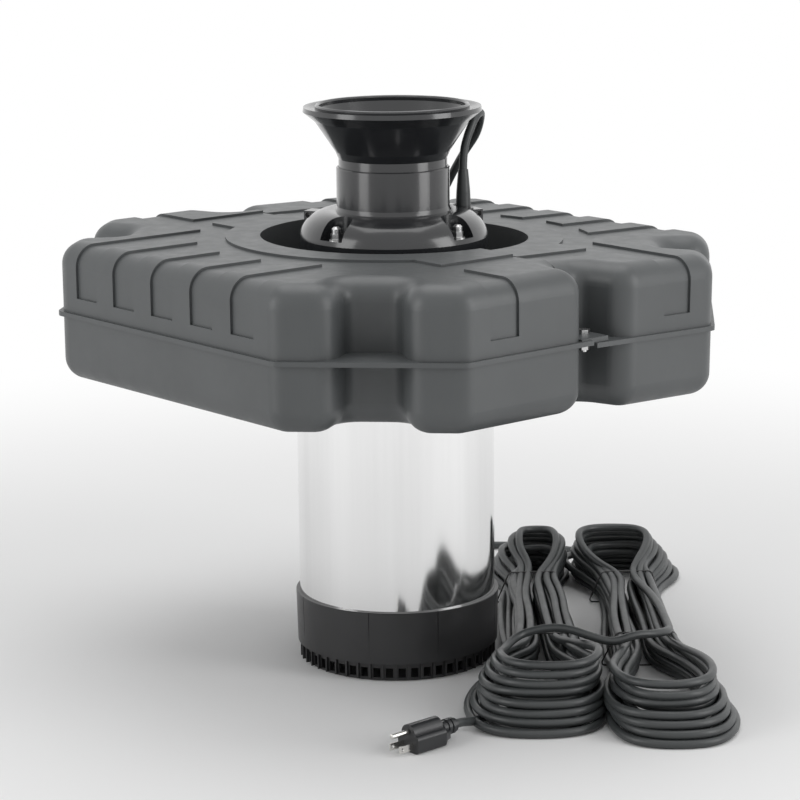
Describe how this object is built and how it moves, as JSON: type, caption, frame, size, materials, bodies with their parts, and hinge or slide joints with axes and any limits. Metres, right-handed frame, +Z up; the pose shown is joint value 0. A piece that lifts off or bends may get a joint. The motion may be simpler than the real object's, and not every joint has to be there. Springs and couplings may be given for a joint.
{
  "type": "pond aerator",
  "caption": "Floating fountain aerator: motor pump in a steel sleeve, two-part moulded float, spray funnel, supply cord in two hanks with a grounded plug",
  "frame": {"origin": "on the pump axis, on the face that the base stands on", "axes": "+Z up along the pump axis; +X along the seam between the float's halves, its longest side; +Y towards the rear half"},
  "size_m": [0.6822, 0.6725, 0.5405],
  "materials": {
    "base_plastic": "moulded black, light sheen",
    "fastener_steel": "plain stainless",
    "sleeve_steel": "polished stainless sheet",
    "motor_casting": "cast and turned",
    "bearing_steel": "ground",
    "core_steel": "laminated sheet",
    "winding_copper": "varnished wire",
    "capacitor_plastic": "moulded case",
    "seal_rubber": "moulded seal",
    "dome_plastic": "glossy black moulding",
    "impeller_plastic": "moulded",
    "gland_plastic": "moulded black",
    "float_plastic": "blow-moulded, soft sheen",
    "cord_rubber": "rubber sheath, soft sheen",
    "tie_plastic": "thin coated wire",
    "plug_metal": "nickel-plated brass"
  },
  "bodies": {
    "pump": {"strainer_base": "base_plastic", "base_screws": "fastener_steel", "drum_sleeve": "sleeve_steel", "motor_lower_cap": "motor_casting", "motor_can": "motor_casting", "motor_upper_cap": "motor_casting", "lower_bearing": "bearing_steel", "upper_bearing": "bearing_steel", "stator_core": "core_steel", "stator_windings": "winding_copper", "run_capacitor": "capacitor_plastic", "seal_seat": "seal_rubber", "pump_head": "dome_plastic", "head_gasket": "seal_rubber", "dome_cover": "dome_plastic", "dome_studs": "fastener_steel", "dome_washers": "fastener_steel", "dome_nuts": "fastener_steel", "outlet_pipe": "dome_plastic", "cable_gland": "gland_plastic", "strain_relief": "cord_rubber", "float_half_front": "float_plastic", "float_half_rear": "float_plastic", "float_bolts": "fastener_steel", "float_washers": "fastener_steel", "float_nuts": "fastener_steel", "tab_bolts": "fastener_steel", "tab_nuts": "fastener_steel", "supply_cord": "cord_rubber", "cord_hank_far": "cord_rubber", "cord_bridge": "cord_rubber", "cord_hank_near": "cord_rubber", "plug_lead": "cord_rubber", "hank_ties": "tie_plastic", "plug_body": "gland_plastic", "plug_blades": "plug_metal", "plug_ground_pin": "plug_metal"},
    "rotor": {"motor_shaft": "bearing_steel", "rotor_core": "core_steel", "seal_head": "seal_rubber", "impeller": "impeller_plastic", "impeller_nut": "fastener_steel"},
    "funnel": {"spray_funnel": "dome_plastic"}
  },
  "joints": [
    {"name": "rotor_spin", "type": "hinge", "parent": "pump", "child": "rotor", "pos_m": [0, 0, 0.2], "axis": [0, 0, 1], "continuous": true},
    {"name": "funnel_lift", "type": "slide", "parent": "pump", "child": "funnel", "axis": [0, 0, 1], "range_m": [0, 0.025]}
  ]
}
